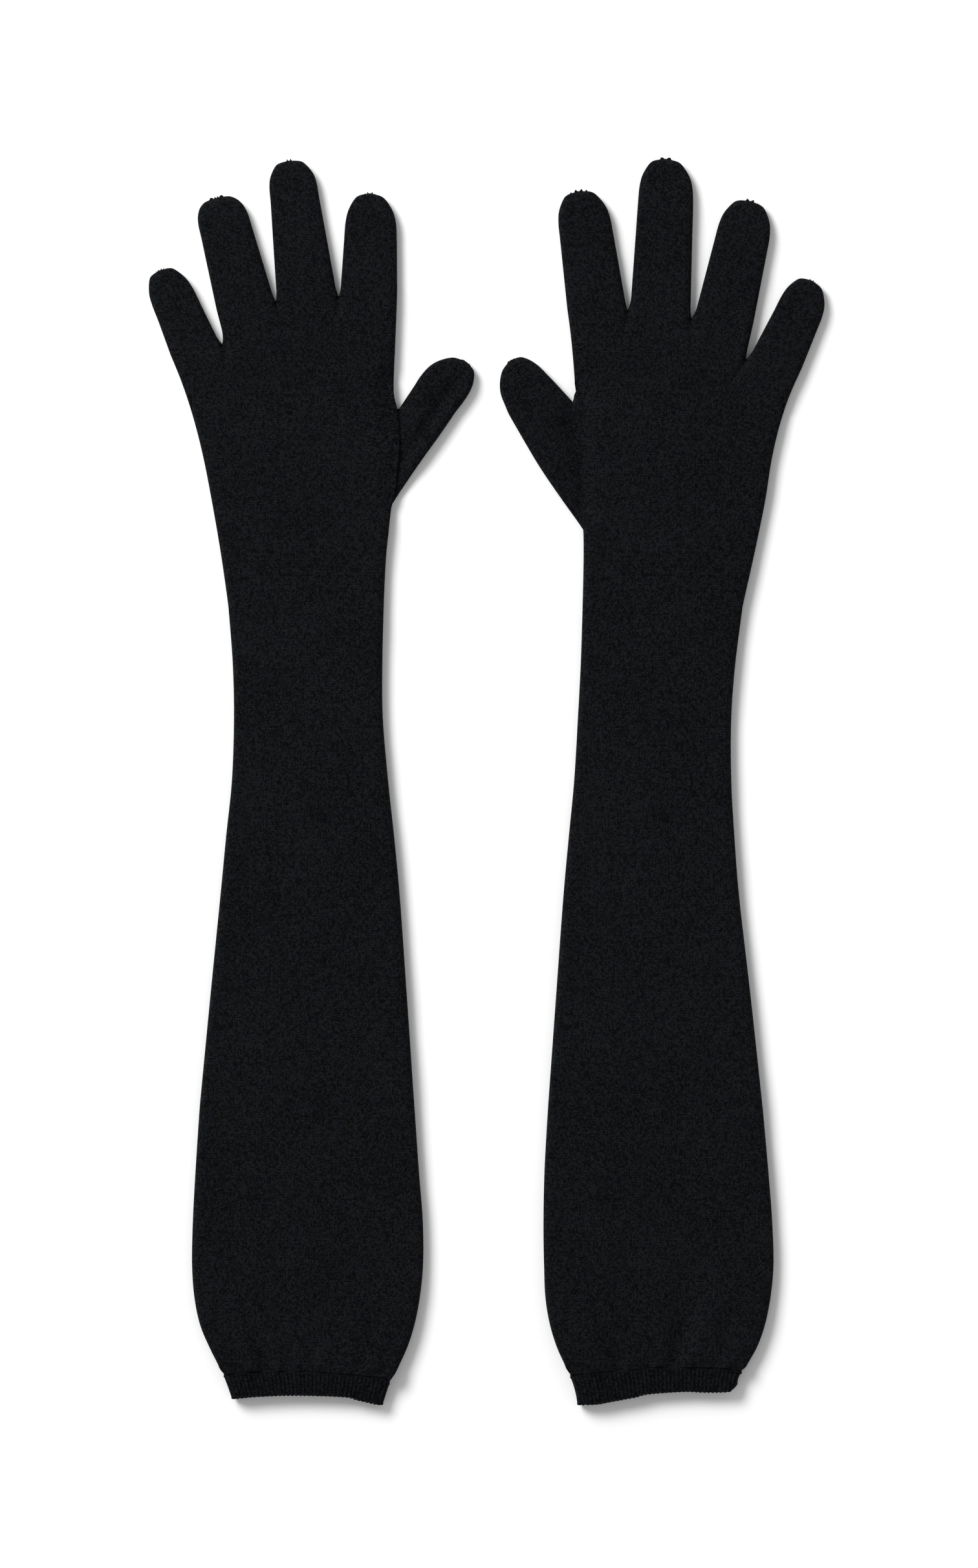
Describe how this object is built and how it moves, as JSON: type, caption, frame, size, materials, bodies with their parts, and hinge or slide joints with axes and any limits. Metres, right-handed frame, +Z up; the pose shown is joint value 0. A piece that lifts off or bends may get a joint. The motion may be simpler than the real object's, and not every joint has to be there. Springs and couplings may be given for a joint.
{
  "type": "opera gloves",
  "caption": "Pair of long knitted opera gloves lying flat, with separate fingers and thumbs, flared sleeves gathered into ribbed cuffs, and folds at the elbows, wrists and fingers.",
  "frame": {"origin": "middle of the pair's outline, on the surface that the gloves lie on", "axes": "+Y from the arm openings to the fingertips, +X from the left glove to the right glove, +Z up off the surface"},
  "size_m": [0.313, 0.5773, 0.0096],
  "materials": {
    "knit": "matt fine-gauge knit",
    "rib_knit": "matt one-by-one rib knit",
    "seam_yarn": "matt linked seam",
    "elastic": "covered elastic thread"
  },
  "bodies": {
    "left_upper_arm": {"left_upper_arm_sleeve": "knit", "left_gather_seam": "seam_yarn", "left_cuff_rib": "rib_knit", "left_cuff_elastic": "elastic", "left_cuff_edge": "seam_yarn"},
    "left_forearm": {"left_forearm_sleeve": "knit"},
    "left_hand": {"left_palm": "knit", "left_knuckles": "knit", "left_finger_forks": "seam_yarn"},
    "left_index_lower": {"left_index_lower": "knit"},
    "left_index_upper": {"left_index_upper": "knit", "left_index_tip": "seam_yarn"},
    "left_middle_lower": {"left_middle_lower": "knit"},
    "left_middle_upper": {"left_middle_upper": "knit", "left_middle_tip": "seam_yarn"},
    "left_ring_lower": {"left_ring_lower": "knit"},
    "left_ring_upper": {"left_ring_upper": "knit", "left_ring_tip": "seam_yarn"},
    "left_little_lower": {"left_little_lower": "knit"},
    "left_little_upper": {"left_little_upper": "knit", "left_little_tip": "seam_yarn"},
    "left_thumb_lower": {"left_thumb_lower": "knit"},
    "left_thumb_upper": {"left_thumb_upper": "knit", "left_thumb_tip": "seam_yarn"},
    "right_upper_arm": {"right_upper_arm_sleeve": "knit", "right_gather_seam": "seam_yarn", "right_cuff_rib": "rib_knit", "right_cuff_elastic": "elastic", "right_cuff_edge": "seam_yarn"},
    "right_forearm": {"right_forearm_sleeve": "knit"},
    "right_hand": {"right_palm": "knit", "right_knuckles": "knit", "right_finger_forks": "seam_yarn"},
    "right_index_lower": {"right_index_lower": "knit"},
    "right_index_upper": {"right_index_upper": "knit", "right_index_tip": "seam_yarn"},
    "right_middle_lower": {"right_middle_lower": "knit"},
    "right_middle_upper": {"right_middle_upper": "knit", "right_middle_tip": "seam_yarn"},
    "right_ring_lower": {"right_ring_lower": "knit"},
    "right_ring_upper": {"right_ring_upper": "knit", "right_ring_tip": "seam_yarn"},
    "right_little_lower": {"right_little_lower": "knit"},
    "right_little_upper": {"right_little_upper": "knit", "right_little_tip": "seam_yarn"},
    "right_thumb_lower": {"right_thumb_lower": "knit"},
    "right_thumb_upper": {"right_thumb_upper": "knit", "right_thumb_tip": "seam_yarn"}
  },
  "joints": [
    {"name": "left_elbow", "type": "hinge", "parent": "left_upper_arm", "child": "left_forearm", "pos_m": [-0.0832, -0.15, 0.009], "axis": [1, 0, 0], "range_deg": [0, 130]},
    {"name": "left_wrist", "type": "hinge", "parent": "left_forearm", "child": "left_hand", "pos_m": [-0.0832, 0.08, 0.0084], "axis": [1, 0, 0], "range_deg": [0, 85]},
    {"name": "left_index_knuckle", "type": "hinge", "parent": "left_hand", "child": "left_index_lower", "pos_m": [-0.05445, 0.2275, 0.0074], "axis": [0.9995, -0.0314, 0], "range_deg": [0, 90]},
    {"name": "left_index_middle", "type": "hinge", "parent": "left_index_lower", "child": "left_index_upper", "pos_m": [-0.05375, 0.24999, 0.0074], "axis": [0.9995, -0.0314, 0], "range_deg": [0, 85]},
    {"name": "left_middle_knuckle", "type": "hinge", "parent": "left_hand", "child": "left_middle_lower", "pos_m": [-0.08363, 0.22747, 0.0074], "axis": [0.9925, 0.1219, 0], "range_deg": [0, 90]},
    {"name": "left_middle_middle", "type": "hinge", "parent": "left_middle_lower", "child": "left_middle_upper", "pos_m": [-0.08734, 0.25775, 0.0074], "axis": [0.9925, 0.1219, 0], "range_deg": [0, 85]},
    {"name": "left_ring_knuckle", "type": "hinge", "parent": "left_hand", "child": "left_ring_lower", "pos_m": [-0.112, 0.22174, 0.0074], "axis": [0.9681, 0.2504, 0], "range_deg": [0, 90]},
    {"name": "left_ring_middle", "type": "hinge", "parent": "left_ring_lower", "child": "left_ring_upper", "pos_m": [-0.11826, 0.24595, 0.0074], "axis": [0.9681, 0.2504, 0], "range_deg": [0, 85]},
    {"name": "left_little_knuckle", "type": "hinge", "parent": "left_hand", "child": "left_little_lower", "pos_m": [-0.13564, 0.20152, 0.0074], "axis": [0.9205, 0.3907, 0], "range_deg": [0, 90]},
    {"name": "left_little_middle", "type": "hinge", "parent": "left_little_lower", "child": "left_little_upper", "pos_m": [-0.14307, 0.21901, 0.0074], "axis": [0.9205, 0.3907, 0], "range_deg": [0, 85]},
    {"name": "left_thumb_root", "type": "hinge", "parent": "left_hand", "child": "left_thumb_lower", "pos_m": [-0.0426, 0.151, 0.0074], "axis": [0, -1, 0], "range_deg": [0, 75]},
    {"name": "left_thumb_middle", "type": "hinge", "parent": "left_thumb_lower", "child": "left_thumb_upper", "pos_m": [-0.02369, 0.17742, 0.0074], "axis": [0.8387, -0.5446, 0], "range_deg": [0, 70]},
    {"name": "right_elbow", "type": "hinge", "parent": "right_upper_arm", "child": "right_forearm", "pos_m": [0.078, -0.15, 0.009], "axis": [1, 0, 0], "range_deg": [0, 130]},
    {"name": "right_wrist", "type": "hinge", "parent": "right_forearm", "child": "right_hand", "pos_m": [0.078, 0.08, 0.0084], "axis": [1, 0, 0], "range_deg": [0, 85]},
    {"name": "right_index_knuckle", "type": "hinge", "parent": "right_hand", "child": "right_index_lower", "pos_m": [0.05093, 0.22049, 0.0074], "axis": [0.9903, 0.1392, 0], "range_deg": [0, 90]},
    {"name": "right_index_middle", "type": "hinge", "parent": "right_index_lower", "child": "right_index_upper", "pos_m": [0.0471, 0.24773, 0.0074], "axis": [0.9903, 0.1392, 0], "range_deg": [0, 85]},
    {"name": "right_middle_knuckle", "type": "hinge", "parent": "right_hand", "child": "right_middle_lower", "pos_m": [0.08074, 0.22099, 0.0074], "axis": [0.9988, -0.0489, 0], "range_deg": [0, 90]},
    {"name": "right_middle_middle", "type": "hinge", "parent": "right_middle_lower", "child": "right_middle_upper", "pos_m": [0.08236, 0.25395, 0.0074], "axis": [0.9988, -0.0489, 0], "range_deg": [0, 85]},
    {"name": "right_ring_knuckle", "type": "hinge", "parent": "right_hand", "child": "right_ring_lower", "pos_m": [0.11037, 0.21493, 0.0074], "axis": [0.9751, -0.2215, 0], "range_deg": [0, 90]},
    {"name": "right_ring_middle", "type": "hinge", "parent": "right_ring_lower", "child": "right_ring_upper", "pos_m": [0.11657, 0.24223, 0.0074], "axis": [0.9751, -0.2215, 0], "range_deg": [0, 85]},
    {"name": "right_little_knuckle", "type": "hinge", "parent": "right_hand", "child": "right_little_lower", "pos_m": [0.13531, 0.19636, 0.0074], "axis": [0.9078, -0.4195, 0], "range_deg": [0, 90]},
    {"name": "right_little_middle", "type": "hinge", "parent": "right_little_lower", "child": "right_little_upper", "pos_m": [0.14353, 0.21415, 0.0074], "axis": [0.9078, -0.4195, 0], "range_deg": [0, 85]},
    {"name": "right_thumb_root", "type": "hinge", "parent": "right_hand", "child": "right_thumb_lower", "pos_m": [0.042, 0.145, 0.0074], "axis": [-0.0698, 0.9976, 0], "range_deg": [0, 75]},
    {"name": "right_thumb_middle", "type": "hinge", "parent": "right_thumb_lower", "child": "right_thumb_upper", "pos_m": [0.02002, 0.17676, 0.0074], "axis": [0.809, 0.5878, 0], "range_deg": [0, 70]},
    {"name": "right_glove_lift", "type": "slide", "parent": "left_upper_arm", "child": "right_upper_arm", "axis": [0, 0, 1], "range_m": [0, 0.15]}
  ]
}
